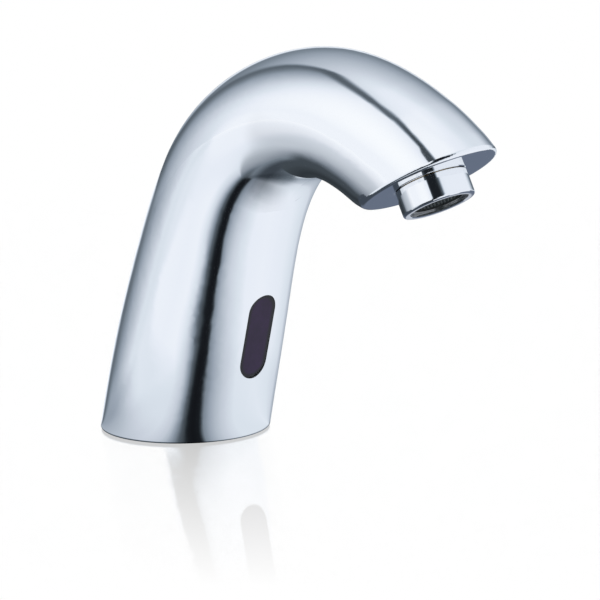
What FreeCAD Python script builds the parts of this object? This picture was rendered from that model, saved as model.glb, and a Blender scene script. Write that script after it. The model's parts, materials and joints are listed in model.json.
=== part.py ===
import FreeCAD, Part
import os
import math

# Touch-free basin tap: one arched, hollow brass casting standing on the deck,
# an obround infra-red window low on its front and an aerator under the tip of
# the spout.  Millimetres.  The origin is the centre of the foot on the deck,
# +Z is up, the spout reaches towards -Y, and X runs across the tap.
# In the comments u is the forward distance, u = -Y.

V = FreeCAD.Vector

# ---------------------------------------------------------------- dimensions
# Arched body: centreline and elliptical section
ARCH_LENGTH = 189.394                     # length of the centreline
LEAN_AT = (0.0, 0.16, 0.30, 0.42, 0.55, 0.70, 0.85, 1.0)   # share of the length
LEAN_DEG = (11.409, 14.768, 16.379, 22.041, 41.756, 74.011, 105.342, 121.239)
HALF_AT = (0.0, 0.2, 0.4, 0.6, 0.8, 1.0)
HALF_WIDTH = (29.530, 28.291, 26.522, 27.587, 23.404, 20.645)   # across, X
HALF_DEPTH = (26.844, 26.755, 24.766, 21.543, 21.353, 23.309)   # front to back
FOOT_EDGE_R = 0.7                         # rounding where the foot meets the deck

# Outlet face, cut obliquely across the spout
OUT_U, OUT_Z = 115.104, 98.099            # centre of the aerator on the face
OUT_TILT = 28.855                         # face tilted from horizontal, degrees
OUT_EDGE_R = 1.3                          # rounding round the outlet face
NOSE_TOP_INSET, NOSE_TOP_REACH = 2.103, 21.249   # soft rounding of the tip
NOSE_LOW_INSET, NOSE_LOW_REACH = 1.395, 4.314

WALL = 3.2                                # casting wall
NOSE_WALL = 8.5                           # solid end behind the outlet face

# Infra-red window
WIN_Z = 35.75                             # height of its centre
WIN_L, WIN_W = 29.98, 11.71               # opening in the casting
WIN_SEAT = 5.0                            # depth of the flat seat inside
LENS_RECESS = 0.75
LENS_GAP = 0.12
FLANGE_L, FLANGE_W = 35.0, 17.0
LENS_FLANGE_T = 1.5
GASKET_T = 0.8
HOUSING_DEPTH = 11.7
HOUSING_WALL = 1.5
COVER_T = 1.5
STRAP_T = 1.2
BOSS_X, BOSS_R = 14.0, 3.2

# Foot: plate, studs, inlet, cable exit
PLATE_T = 8.0
PLATE_GAP = 0.15
STUD_X, STUD_R, STUD_DEPTH = 11.0, 3.4, 12.0     # M8, at the tapping size
STUD_BOSS_R = 5.6
INLET_Y, INLET_R, INLET_DEPTH = 10.0, 4.46, 9.0  # M10x1, at the tapping size
FITTING_R = 7.5
CABLE_Y, GROMMET_R, CABLE_R = -10.0, 4.5, 2.4
LUG_X, LUG_Y, LUG_TOP = 15.0, 10.5, 18.0

# Water way
TUBE_RO, TUBE_RI = 5.5, 4.0
TUBE_ROUTE = ((-10.0, 10.7), (-10.0, 31.0), (14.0, 84.0), (38.0, 108.0), (72.0, 121.0))
TUBE_END_BEND = 25.5                      # corner behind the outlet face
TUBE_END_TAN = 8.0

# Outlet nozzle and aerator (M22x1 male on the nozzle, 24 mm ring)
NOZZLE_BODY_R = 10.0
NOZZLE_THREAD_R = 10.66
NOZZLE_PROUD = 4.6
NOZZLE_BORE_R = 9.15
TAIL_R, TAIL_END = 3.95, 17.2
RING_R = 12.0
RING_BORE_R = 10.74
RING_END = 8.64                           # ring's lower edge from the face
RING_LIP_R, RING_LIP_T = 9.75, 1.2
RING_GAP = 0.15                           # seam to the outlet face

# ------------------------------------------------------------------- helpers


def natural_spline(xs, ys):
    """Natural cubic spline through the points, as a function."""
    n = len(xs)
    h = [xs[i + 1] - xs[i] for i in range(n - 1)]
    a = [0.0] * n
    b = [1.0] * n
    c = [0.0] * n
    d = [0.0] * n
    for i in range(1, n - 1):
        a[i] = h[i - 1]
        b[i] = 2 * (h[i - 1] + h[i])
        c[i] = h[i]
        d[i] = 6 * ((ys[i + 1] - ys[i]) / h[i] - (ys[i] - ys[i - 1]) / h[i - 1])
    for i in range(1, n):
        m = a[i] / b[i - 1]
        b[i] -= m * c[i - 1]
        d[i] -= m * d[i - 1]
    k = [0.0] * n
    k[-1] = d[-1] / b[-1]
    for i in range(n - 2, -1, -1):
        k[i] = (d[i] - c[i] * k[i + 1]) / b[i]

    def f(x):
        i = 0
        while i < n - 2 and x > xs[i + 1]:
            i += 1
        if x < xs[0] or x > xs[-1]:
            j = 0 if x < xs[0] else n - 2
            t0, t1 = xs[j], xs[j + 1]
        else:
            j = i
            t0, t1 = xs[j], xs[j + 1]
        hh = t1 - t0
        p, q = (t1 - x) / hh, (x - t0) / hh
        return (p * ys[j] + q * ys[j + 1]
                + ((p ** 3 - p) * k[j] + (q ** 3 - q) * k[j + 1]) * hh * hh / 6)
    return f


L = ARCH_LENGTH
lean = natural_spline([q * L for q in LEAN_AT], LEAN_DEG)
half_w = natural_spline([q * L for q in HALF_AT], HALF_WIDTH)
half_d = natural_spline([q * L for q in HALF_AT], HALF_DEPTH)

# Centreline stations (s, lean, u, z), carried straight on past both ends
STEPS = 400
EXTRA, EXTRA_N = 26.0, 24
stations = []
u = z = 0.0
ds = L / (STEPS - 1)
previous = None
for i in range(STEPS):
    s = i * ds
    a = math.radians(lean(s))
    if previous is not None:
        u += (math.sin(a) + math.sin(previous)) / 2 * ds
        z += (math.cos(a) + math.cos(previous)) / 2 * ds
    previous = a
    stations.append((s, a, u, z))
first, last = stations[0], stations[-1]
before = []
for i in range(EXTRA_N, 0, -1):
    e = -EXTRA * i / EXTRA_N
    before.append((e, first[1], first[2] + math.sin(first[1]) * e, first[3] + math.cos(first[1]) * e))
after = []
for i in range(1, EXTRA_N + 1):
    e = EXTRA * i / EXTRA_N
    after.append((L + e, last[1], last[2] + math.sin(last[1]) * e, last[3] + math.cos(last[1]) * e))
stations = before + stations + after

TILT = math.radians(OUT_TILT)
WU, WZ = math.sin(TILT), -math.cos(TILT)          # outward normal of the outlet face


def face_height(pu, pz):
    return (pu - OUT_U) * WU + (pz - OUT_Z) * WZ


def surface_line(phi, inset):
    """One lengthwise line of the surface: points (x, u, z) along the stations."""
    c, s_ = math.cos(phi), math.sin(phi)
    pts = []
    for (s, a, cu, cz) in stations:
        w = half_w(s) - inset
        d = half_d(s) - inset
        x = w * s_
        o = d * c
        pts.append([x, cu + o * math.cos(a), cz - o * math.sin(a)])
    return pts


def at_height(pts, h, key, start, stop):
    """Last place along the line where key() rises past h, by linear steps."""
    for i in range(stop - 1, start - 1, -1):
        k0, k1 = key(pts[i]), key(pts[i + 1])
        if k0 < h <= k1:
            t = (h - k0) / (k1 - k0)
            return i + t
    raise ValueError("line doesn't reach %.1f" % h)


def sample(pts, q):
    i = min(int(q), len(pts) - 2)
    t = q - i
    return [pts[i][j] * (1 - t) + pts[i + 1][j] * t for j in range(3)]


def shell_rows(inset, low_z, end_heights, body_rows, columns, rounded):
    """Closed rows of points round the body, from below the foot to past the face."""
    n = len(stations)
    rows = [[None] * columns for _ in range(body_rows + len(end_heights))]
    for j in range(columns):
        phi = 2 * math.pi * j / columns
        pts = surface_line(phi, inset)
        q0 = at_height(pts, low_z, lambda p: p[2], 0, n // 2)
        q1 = at_height(pts, end_heights[0], lambda p: face_height(p[1], p[2]), n // 2, n - 1)
        for i in range(body_rows):
            rows[i][j] = sample(pts, q0 + (q1 - q0) * i / body_rows)
        for i, h in enumerate(end_heights):
            q = at_height(pts, h, lambda p: face_height(p[1], p[2]), n // 2, n - 1)
            rows[body_rows + i][j] = sample(pts, q)
        if rounded:
            c, s_ = math.cos(phi), math.sin(phi)
            top = max(0.0, -c) ** 2
            low = max(0.0, c) ** 2
            depth = NOSE_TOP_INSET * top + NOSE_LOW_INSET * low
            reach = NOSE_LOW_REACH + (NOSE_TOP_REACH - NOSE_LOW_REACH) * top
            a = last[1]
            w, d = HALF_WIDTH[-1], HALF_DEPTH[-1]
            nx, nu, nz = s_ * d, c * w * math.cos(a), -c * w * math.sin(a)
            m = math.sqrt(nx * nx + nu * nu + nz * nz)
            nx, nu, nz = nx / m, nu / m, nz / m
            # inward shift kept parallel to the outlet face, so each row stays flat
            f = nu * WU + nz * WZ
            px, pu, pz = nx, nu - f * WU, nz - f * WZ
            g = nx * px + nu * pu + nz * pz
            for i in range(body_rows // 2, len(rows)):
                p = rows[i][j]
                t = max(0.0, 1 + face_height(p[1], p[2]) / reach)
                k = depth * t * t / g
                rows[i][j] = [p[0] - px * k, p[1] - pu * k, p[2] - pz * k]
    return rows


def loft_rows(rows):
    """Closed solid on one smooth skin through the rows, flat at both ends."""
    n = len(rows[0])
    around = [i / n for i in range(n + 1)]
    run = [0.0]
    for r0, r1 in zip(rows, rows[1:]):
        run.append(run[-1] + sum(math.dist(a, b) for a, b in zip(r0, r1)) / n)
    along = [q / run[-1] for q in run]
    ring_poles = []
    for r in rows:
        curve = Part.BSplineCurve()
        curve.interpolate(Points=[V(p[0], -p[1], p[2]) for p in r], PeriodicFlag=True, Parameters=around)
        ring_poles.append(curve.getPoles())
    ring_knots, ring_mults, ring_degree = curve.getKnots(), curve.getMultiplicities(), curve.Degree
    columns = []
    for j in range(len(ring_poles[0])):
        line = Part.BSplineCurve()
        line.interpolate(Points=[poles[j] for poles in ring_poles], Parameters=along)
        columns.append(line.getPoles())
    skin = Part.BSplineSurface()
    skin.buildFromPolesMultsKnots(columns, ring_mults, line.getMultiplicities(), ring_knots, line.getKnots(),
                                  True, False, ring_degree, line.Degree)
    side = skin.toShape()
    v0, v1 = skin.bounds()[2:]
    caps = []
    for v in (v0, v1):
        rim = skin.vIso(v).toShape()
        caps.append(Part.Face(Part.Wire([rim])))
    shell = Part.makeShell([side] + caps)
    shell.sewShape()
    solid = Part.Solid(shell if shell.ShapeType == "Shell" else shell.Shells[0])
    if solid.Volume < 0:
        solid.reverse()
    return solid


def cyl(r, z0, z1, x=0.0, y=0.0):
    return Part.makeCylinder(r, z1 - z0, V(x, y, z0))


def tube(ro, ri, z0, z1, x=0.0, y=0.0):
    return cyl(ro, z0, z1, x, y).cut(cyl(ri, z0 - 1, z1 + 1, x, y))


def turned(profile):
    """Solid of revolution about Z from (r, z) points."""
    pts = [V(r, 0, zz) for r, zz in profile]
    face = Part.Face(Part.makePolygon(pts + [pts[0]]))
    return face.revolve(V(0, 0, 0), V(0, 0, 1), 360)


def obround(length, width, z0, z1):
    """Obround prism along Z, its long axis along Y."""
    r = width / 2.0
    h = length / 2.0 - r
    box = Part.makeBox(width, 2 * h, z1 - z0, V(-r, -h, z0))
    return box.fuse([cyl(r, z0, z1, 0, h), cyl(r, z0, z1, 0, -h)]).removeSplitter()


def placed(shape, matrix):
    s = shape.copy()
    s.transformShape(matrix)
    return s


def frame_matrix(ox, oy, oz, ex, ey, ez):
    return FreeCAD.Matrix(ex[0], ey[0], ez[0], ox,
                          ex[1], ey[1], ez[1], oy,
                          ex[2], ey[2], ez[2], oz,
                          0, 0, 0, 1)


def oval(ax, ay, z0, z1):
    e = Part.Ellipse(V(0, 0, z0), ax, ay) if ax >= ay else None
    wire = Part.Wire([e.toShape()])
    return Part.Face(wire).extrude(V(0, 0, z1 - z0))


def largest(shape):
    return max(shape.Solids, key=lambda s: s.Volume)


# Local frame of the outlet: Z is outward along the aerator's axis
OUT = frame_matrix(0, -OUT_U, OUT_Z,
                   (1, 0, 0), (0, -math.cos(TILT), math.sin(TILT)), (0, -WU, WZ))

# Local frame of the window: Z is outward, Y is up along the front of the column
front = []
for (s, a, cu, cz) in stations[:len(stations) // 2]:
    d = half_d(s)
    front.append((cu + d * math.cos(a), cz - d * math.sin(a)))
k = max(i for i in range(len(front) - 1) if front[i][1] < WIN_Z)
t = (WIN_Z - front[k][1]) / (front[k + 1][1] - front[k][1])
WIN_U = front[k][0] + t * (front[k + 1][0] - front[k][0])
du = front[k + 4][0] - front[k - 3][0]
dz = front[k + 4][1] - front[k - 3][1]
m = math.hypot(du, dz)
TU, TZ = du / m, dz / m
WIN = frame_matrix(0, -WIN_U, WIN_Z, (1, 0, 0), (0, -TU, TZ), (0, -TZ, -TU))

# -------------------------------------------------------------- body casting
END_ROWS = (-7.2, -5.0, -3.2, -1.6, 0.0, 1.5, 3.0)
outer_full = loft_rows(shell_rows(0.0, -3.0, END_ROWS, 30, 48, True))
big = 400.0
below = Part.makeBox(big, big, 50, V(-big / 2, -big / 2, -50))
past_face = placed(Part.makeBox(120, 120, 30, V(-60, -60, 0)), OUT)
outer = largest(outer_full.cut(below).cut(past_face))

edges = []
for e in outer.Edges:
    b = e.BoundBox
    if b.ZMax < 0.01:
        edges.append((e, FOOT_EDGE_R))
    elif all(abs(face_height(-v.y, v.z)) < 0.02 for v in e.discretize(9)):
        edges.append((e, OUT_EDGE_R))
print("edges rounded", len(edges), "volume", round(outer.Volume))
body = outer
for radius in (FOOT_EDGE_R, OUT_EDGE_R):
    group = [e for e, r in edges if r == radius]
    try:
        trial = body.makeFillet(radius, group)
        if trial.isValid() and trial.Volume > 0.9 * body.Volume:
            body = trial
            print("rounded", radius)
        else:
            print("rounding not valid", radius)
    except Exception as err:
        print("rounding failed", radius, err)
outer_rounded = body

# The hollow: the same shape set in by the wall, open at the foot
inner_full = loft_rows(shell_rows(WALL, -4.0, (-12.0, -9.5, -7.0, -4.5), 26, 48, False))
behind_face = placed(Part.makeBox(120, 120, 60, V(-60, -60, -NOSE_WALL)), OUT)
hollow = inner_full.cut(behind_face)

# What stands inside the hollow: window seat, clamp bosses, screw lugs
seat = placed(obround(FLANGE_L + 3.0, FLANGE_W + 3.4, -WIN_SEAT, 6.0), WIN)
DEPTH_STRAP = WIN_SEAT + GASKET_T + LENS_FLANGE_T + HOUSING_DEPTH + COVER_T   # front of the strap
bosses = [placed(cyl(BOSS_R, -DEPTH_STRAP, 6.0, sx * BOSS_X, 0), WIN) for sx in (-1, 1)]
lugs = []
for sx in (-1, 1):
    for sy in (-1, 1):
        ang = math.degrees(math.atan2(sy * LUG_Y, sx * LUG_X))
        arm = Part.makeBox(16, 9, LUG_TOP - PLATE_T, V(0, -4.5, 0))
        arm.rotate(V(0, 0, 0), V(0, 0, 1), ang)
        arm.translate(V(sx * LUG_X, sy * LUG_Y, PLATE_T))
        lugs.append(arm.fuse(cyl(4.5, PLATE_T, LUG_TOP, sx * LUG_X, sy * LUG_Y)))
keep = seat.fuse(bosses + lugs)
hollow = hollow.cut(keep)
body = body.cut(hollow)

# Openings through the wall
window = placed(obround(WIN_L, WIN_W, -WIN_SEAT - 1, 8.0), WIN)
nose_bore = placed(cyl(NOZZLE_BODY_R + 0.05, -NOSE_WALL - 6, 5.0), OUT)
taps = [placed(cyl(1.5, -DEPTH_STRAP - 1, -DEPTH_STRAP + 9.0, sx * BOSS_X, 0), WIN) for sx in (-1, 1)]
lug_holes = [cyl(2.0, PLATE_T - 1, LUG_TOP - 1.5, sx * LUG_X, sy * LUG_Y)
             for sx in (-1, 1) for sy in (-1, 1)]
body = largest(body.cut([window, nose_bore] + taps + lug_holes))

parts = {}
parts["body_casting"] = body

# --------------------------------------------------------------- foot pieces
plate_full = loft_rows(shell_rows(WALL + PLATE_GAP, -4.0, (-12.0, -9.5), 26, 48, False))
slab = Part.makeBox(big, big, PLATE_T - 0.05, V(-big / 2, -big / 2, 0))
plate = plate_full.common(slab)
plate = plate.fuse([cyl(STUD_BOSS_R, PLATE_T - 2, STUD_DEPTH, sx * STUD_X, 0) for sx in (-1, 1)])
groove = oval(25.3, 23.1, -1, 1.5).cut(oval(23.7, 21.5, -2, 2.5))
cuts = [groove]
cuts += [cyl(STUD_R, -1, STUD_DEPTH + 1, sx * STUD_X, 0) for sx in (-1, 1)]
cuts += [cyl(FITTING_R + 0.05, -1, PLATE_T + 1, 0, INLET_Y), cyl(GROMMET_R, -1, PLATE_T + 1, 0, CABLE_Y)]
for sx in (-1, 1):
    for sy in (-1, 1):
        cuts.append(cyl(2.15, -1, PLATE_T + 1, sx * LUG_X, sy * LUG_Y))
        cone = Part.makeCone(3.75, 2.15, 2.3, V(sx * LUG_X, sy * LUG_Y, 0.95))
        cuts += [cone, cyl(3.75, -1, 0.95, sx * LUG_X, sy * LUG_Y)]
plate = largest(plate.cut(cuts))
parts["base_plate"] = plate

parts["base_seal"] = oval(25.2, 23.0, 0.0, 1.45).cut(oval(23.8, 21.6, -2, 2.5))

screws = []
for sx in (-1, 1):
    for sy in (-1, 1):
        body_s = turned([(0, 0.45), (3.6, 0.45), (3.6, 0.75), (2.0, 2.6), (1.95, 2.7), (1.95, 15.5), (1.4, 16.2), (0, 16.2)])
        hexa = Part.Face(Part.makePolygon([V(1.25 / math.cos(math.pi / 6) * math.cos(math.radians(60 * q)),
                                             1.25 / math.cos(math.pi / 6) * math.sin(math.radians(60 * q)), 0) for q in range(7)])).extrude(V(0, 0, 2.3))
        body_s = body_s.cut(hexa)
        body_s.translate(V(sx * LUG_X, sy * LUG_Y, 0))
        screws.append(body_s)
parts["base_screws"] = Part.makeCompound(screws)

# Inlet: brass fitting through the plate, hose thread below and plain tail above
fitting = turned([(INLET_R, 0.05), (FITTING_R, 0.05), (FITTING_R, 3.0), (6.3, 3.0), (6.3, 5.2), (FITTING_R, 5.2),
                  (FITTING_R, 8.0), (8.6, 8.0), (8.6, 10.4), (TUBE_RI - 0.05, 10.4), (TUBE_RI - 0.05, 20.0),
                  (TUBE_RI - 0.55, 21.0), (2.6, 21.0), (2.6, INLET_DEPTH + 1.2), (INLET_R, INLET_DEPTH)])
fitting.translate(V(0, INLET_Y, 0))
parts["inlet_fitting"] = fitting


def o_ring(big_r, small_r, zc):
    return Part.makeTorus(big_r, small_r, V(0, 0, zc), V(0, 0, 1), 0, 360)


ring = o_ring(6.92, 0.6, 4.1)
ring.translate(V(0, INLET_Y, 0))
parts["inlet_o_ring"] = ring

grommet = turned([(CABLE_R, 0.1), (GROMMET_R - 0.05, 0.1), (GROMMET_R - 0.05, 8.05), (6.1, 8.05), (6.1, 9.6),
                  (4.4, 11.4), (3.6, 14.0), (CABLE_R, 14.0)])
grommet.translate(V(0, CABLE_Y, 0))
parts["cable_grommet"] = grommet

# ----------------------------------------------------------------- water way
# The tube's path: straight runs joined by tangent arcs, in the plane x = 0
end_face = 8.7
corner = (OUT_U - WU * TUBE_END_BEND, OUT_Z - WZ * TUBE_END_BEND)
finish = (OUT_U - WU * end_face, OUT_Z - WZ * end_face)
route = list(TUBE_ROUTE) + [corner, finish]


def route_wire(points):
    edges = []
    here = points[0]
    runs = [math.dist(points[i], points[i + 1]) for i in range(len(points) - 1)]
    for i in range(1, len(points) - 1):
        a, b, c = points[i - 1], points[i], points[i + 1]
        d0 = ((b[0] - a[0]) / runs[i - 1], (b[1] - a[1]) / runs[i - 1])
        d1 = ((c[0] - b[0]) / runs[i], (c[1] - b[1]) / runs[i])
        turn = math.acos(max(-1, min(1, d0[0] * d1[0] + d0[1] * d1[1])))
        tan = 0.45 * min(runs[i - 1], runs[i])
        if i == len(points) - 2:
            tan = TUBE_END_TAN
        radius = tan / math.tan(turn / 2)
        print("tube bend radius", round(radius, 1), "turn", round(math.degrees(turn), 1))
        p0 = (b[0] - d0[0] * tan, b[1] - d0[1] * tan)
        p1 = (b[0] + d1[0] * tan, b[1] + d1[1] * tan)
        # middle of the arc lies on the line from the corner to the arc's centre
        mx, my = (p0[0] + p1[0]) / 2 - b[0], (p0[1] + p1[1]) / 2 - b[1]
        ml = math.hypot(mx, my)
        off = radius / math.cos(turn / 2) - radius
        pm = (b[0] + mx / ml * off, b[1] + my / ml * off)
        g = lambda q: V(0, -q[0], q[1])
        edges.append(Part.LineSegment(g(here), g(p0)).toShape())
        edges.append(Part.Arc(g(p0), g(pm), g(p1)).toShape())
        here = p1
    edges.append(Part.LineSegment(V(0, -here[0], here[1]), V(0, -points[-1][0], points[-1][1])).toShape())
    return Part.Wire(edges)


path = route_wire(route)
start = V(0, -route[0][0], route[0][1])


def sweep(radius):
    circle = Part.Wire([Part.Circle(start, V(0, 0, 1), radius).toShape()])
    return path.makePipeShell([circle], True, True)


tube_solid = sweep(TUBE_RO).cut(sweep(TUBE_RI))
print("tube length", round(path.Length, 1), "volume ratio",
      round(tube_solid.Volume / (path.Length * math.pi * (TUBE_RO ** 2 - TUBE_RI ** 2)), 4))
parts["water_tube"] = tube_solid

low_ferrule = turned([(TUBE_RO + 0.05, 11.2), (6.5, 11.2), (6.5, 15.6), (TUBE_RO + 0.05, 15.6)])
low_ferrule.translate(V(0, INLET_Y, 0))
top_ferrule = placed(tube(6.5, TUBE_RO + 0.05, -14.4, -10.0), OUT)
parts["tube_ferrules"] = Part.makeCompound([low_ferrule, top_ferrule])

nozzle = turned([(NOZZLE_BORE_R, NOZZLE_PROUD), (NOZZLE_THREAD_R - 0.35, NOZZLE_PROUD), (NOZZLE_THREAD_R, NOZZLE_PROUD - 0.35),
                 (NOZZLE_THREAD_R, 0.02), (NOZZLE_BODY_R, 0.02), (NOZZLE_BODY_R, -5.6), (8.95, -5.6), (8.95, -7.4),
                 (NOZZLE_BODY_R, -7.4), (NOZZLE_BODY_R, -8.45), (TAIL_R, -8.45), (TAIL_R, -TAIL_END + 0.8),
                 (TAIL_R - 0.5, -TAIL_END), (2.6, -TAIL_END), (2.6, -5.4), (NOZZLE_BORE_R, -5.4 + 1.2)])
parts["outlet_nozzle"] = placed(nozzle, OUT)
parts["nozzle_o_ring"] = placed(o_ring(9.5, 0.53, -6.5), OUT)

# ------------------------------------------------------------------- aerator
washer_0, washer_1 = NOZZLE_PROUD + 0.03, 6.05
lip_0 = RING_END - RING_LIP_T
ring = turned([(RING_BORE_R, RING_GAP), (RING_R - 0.3, RING_GAP), (RING_R, RING_GAP + 0.3), (RING_R, RING_END - 0.9)]
              + [(RING_R - 0.9 + 0.9 * math.cos(math.radians(q)), RING_END - 0.9 + 0.9 * math.sin(math.radians(q)))
                 for q in (15, 30, 45, 60, 75, 90)]
              + [(RING_LIP_R + 0.25, RING_END), (RING_LIP_R, RING_END - 0.25), (RING_LIP_R, lip_0), (RING_BORE_R, lip_0)])
parts["aerator_ring"] = placed(ring, OUT)
parts["aerator_washer"] = placed(tube(10.5, 9.1, washer_0, washer_1), OUT)

housing = turned([(8.0, lip_0 - 0.05), (9.55, lip_0 - 0.05), (10.5, lip_0 - 0.05), (10.5, washer_1 + 0.05), (8.75, washer_1 + 0.05),
                  (8.75, -2.4), (7.6, -2.4), (7.6, 4.6), (8.0, 4.6)])
parts["aerator_housing"] = placed(housing, OUT)

# Screens: woven wire in a rim, as crossed bars
def screen(radius, rim, pitch, bar, z0, z1, half):
    rods = []
    n = int(radius / pitch)
    zm = (z0 + z1) / 2
    for i in range(-n, n + 1):
        w = math.sqrt(max(0.0, radius ** 2 - (i * pitch) ** 2))
        if w < 1.0:
            continue
        rods.append(Part.makeBox(bar, 2 * w, z1 - z0, V(i * pitch - bar / 2, -w, z0)))
        rods.append(Part.makeBox(2 * w, bar, z1 - z0, V(-w, i * pitch - bar / 2, z0)))
    frame = tube(radius, radius - rim, z0, z1)
    out = frame.fuse(rods).common(cyl(radius, z0, z1))
    return out.removeSplitter()


parts["aerator_screen"] = placed(screen(7.95, 0.7, 1.6, 0.45, 6.4, 6.9, 4), OUT)
parts["mixing_screen"] = placed(screen(7.95, 0.7, 2.2, 0.5, 4.9, 5.4, 4), OUT)

regulator = cyl(7.5, 0.0, 2.4)
holes = [cyl(0.8, -1, 4, 5.0 * math.cos(math.radians(30 * q)), 5.0 * math.sin(math.radians(30 * q))) for q in range(12)]
parts["flow_regulator"] = placed(regulator.cut(holes).cut(cyl(2.2, 1.2, 4)), OUT)

strainer = turned([(0, -4.0), (3.5, -3.9), (6.6, -3.3), (8.7, -2.45), (7.45, -2.45), (7.45, -0.05), (6.9, -0.05), (6.9, -2.5), (3.5, -3.1), (0, -3.25)])
slots = []
for q in range(8):
    b = Part.makeBox(4.0, 0.8, 4, V(2.0, -0.4, -5))
    b.rotate(V(0, 0, 0), V(0, 0, 1), 45 * q)
    slots.append(b)
parts["inlet_strainer"] = placed(largest(strainer.cut(slots)), OUT)

# -------------------------------------------------------------- sensor block
d0 = -LENS_RECESS
d1 = -(WIN_SEAT + GASKET_T)
d2 = d1 - LENS_FLANGE_T
d3 = d2 - HOUSING_DEPTH
d4 = d3 - COVER_T
d5 = d4 - STRAP_T
plug = obround(WIN_L - 2 * LENS_GAP, WIN_W - 2 * LENS_GAP, d1 - 0.2, d0)
lens = plug.fuse(obround(FLANGE_L, FLANGE_W, d2, d1 - 0.02)).removeSplitter()
parts["sensor_lens"] = placed(lens, WIN)
gasket = obround(FLANGE_L, FLANGE_W, d1, -WIN_SEAT - 0.02).cut(obround(WIN_L + 0.2, WIN_W + 0.2, d1 - 1, 0))
parts["sensor_gasket"] = placed(gasket, WIN)
hw = HOUSING_WALL
shell = obround(FLANGE_L, FLANGE_W, d3, d2 - 0.02).cut(obround(FLANGE_L - 2 * hw, FLANGE_W - 2 * hw, d3 - 1, d2 + 1))
ledge = obround(FLANGE_L - 2 * hw + 0.4, FLANGE_W - 2 * hw + 0.4, d2 - 8.4, d2 - 6.6).cut(obround(FLANGE_L - 2 * hw - 2, FLANGE_W - 2 * hw - 2, d2 - 9, d2))
parts["sensor_housing"] = placed(shell.fuse(ledge).removeSplitter(), WIN)
board_top = d2 - 8.45
pcb = obround(FLANGE_L - 2 * hw - 0.3, FLANGE_W - 2 * hw - 0.3, board_top - 1.6, board_top)
parts["sensor_pcb"] = placed(pcb, WIN)


def led(radius, height, x, y):
    stem = turned([(0, 0.02), (radius + 0.35, 0.02), (radius + 0.35, 0.8), (radius, 0.8), (radius, height - radius)]
                  + [(radius * math.cos(math.radians(q)), height - radius + radius * math.sin(math.radians(q))) for q in (18, 36, 54, 72)]
                  + [(0, height)])
    stem.translate(V(x, y, board_top))
    return placed(stem, WIN)


parts["ir_emitter"] = led(2.4, 7.4, 0, 9.2)
parts["ir_receiver"] = led(2.4, 7.4, 0, -9.2)
parts["status_led"] = led(1.4, 6.0, 0, 3.0)
parts["light_baffle"] = placed(Part.makeBox(FLANGE_W - 2 * hw - 2.3, 1.2, 8.0, V(-(FLANGE_W - 2 * hw - 2.3) / 2, -2.2, d2 - 8.3)), WIN)
parts["cable_header"] = placed(Part.makeBox(7.5, 4.2, 1.4, V(-3.75, -8.1, board_top - 3.05)), WIN)
lip = obround(FLANGE_L - 2 * hw - 0.3, FLANGE_W - 2 * hw - 0.3, d3 - 0.3, d3 + 1.0).cut(
    obround(FLANGE_L - 2 * hw - 3.0, FLANGE_W - 2 * hw - 3.0, d3 - 0.02, d3 + 2))
cover = obround(FLANGE_L, FLANGE_W, d4, d3 - 0.02).fuse(lip)
cover = cover.cut(cyl(2.3, d4 - 1, d3 + 3, 0, -11.5)).removeSplitter()
parts["sensor_back_cover"] = placed(cover, WIN)
strap = Part.makeBox(2 * BOSS_X, 9.0, STRAP_T - 0.02, V(-BOSS_X, -4.5, d5)).fuse([cyl(4.5, d5, d4 - 0.02, sx * BOSS_X, 0) for sx in (-1, 1)])
strap = strap.cut([cyl(1.7, d5 - 1, d4 + 1, sx * BOSS_X, 0) for sx in (-1, 1)]).removeSplitter()
parts["sensor_clamp"] = placed(strap, WIN)
clamp_screws = []
for sx in (-1, 1):
    head = turned([(0, d5 - 2.1), (1.8, d5 - 2.1), (2.6, d5 - 1.5), (2.75, d5 - 0.9), (2.75, d5 - 0.02), (1.45, d5 - 0.02), (1.45, d5 + 8.6), (1.0, d5 + 9.1), (0, d5 + 9.1)])
    for ang in (0, 90):
        b = Part.makeBox(3.2, 0.6, 1.2, V(-1.6, -0.3, d5 - 2.3))
        b.rotate(V(0, 0, 0), V(0, 0, 1), ang)
        head = head.cut(b)
    head.translate(V(sx * BOSS_X, 0, 0))
    clamp_screws.append(placed(head, WIN))
parts["clamp_screws"] = Part.makeCompound(clamp_screws)

# -------------------------------------------------------------------- output
os.makedirs("parts", exist_ok=True)
for name in sorted(parts):
    shape = parts[name]
    solids = shape.Solids
    bad = [s for s in solids if not s.isValid() or s.Volume <= 0]
    b = shape.BoundBox
    print("%-18s solids %d  volume %9.1f  x %.1f..%.1f  y %.1f..%.1f  z %.1f..%.1f%s" % (
        name, len(solids), sum(s.Volume for s in solids), b.XMin, b.XMax, b.YMin, b.YMax, b.ZMin, b.ZMax,
        "  NOT VALID" if bad else ""))
    out = solids[0] if len(solids) == 1 else shape
    out.exportStep("parts/%s.step" % name)
print("window axis u %.4f z %.4f centre u %.3f z %.3f" % (TZ, -TU, WIN_U, WIN_Z))
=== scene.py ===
"""Looks of the sensor tap: materials, a woven outlet screen, and the white studio that the chrome reflects."""
import bpy, bmesh, json, math
from mathutils import Vector, Matrix


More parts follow.
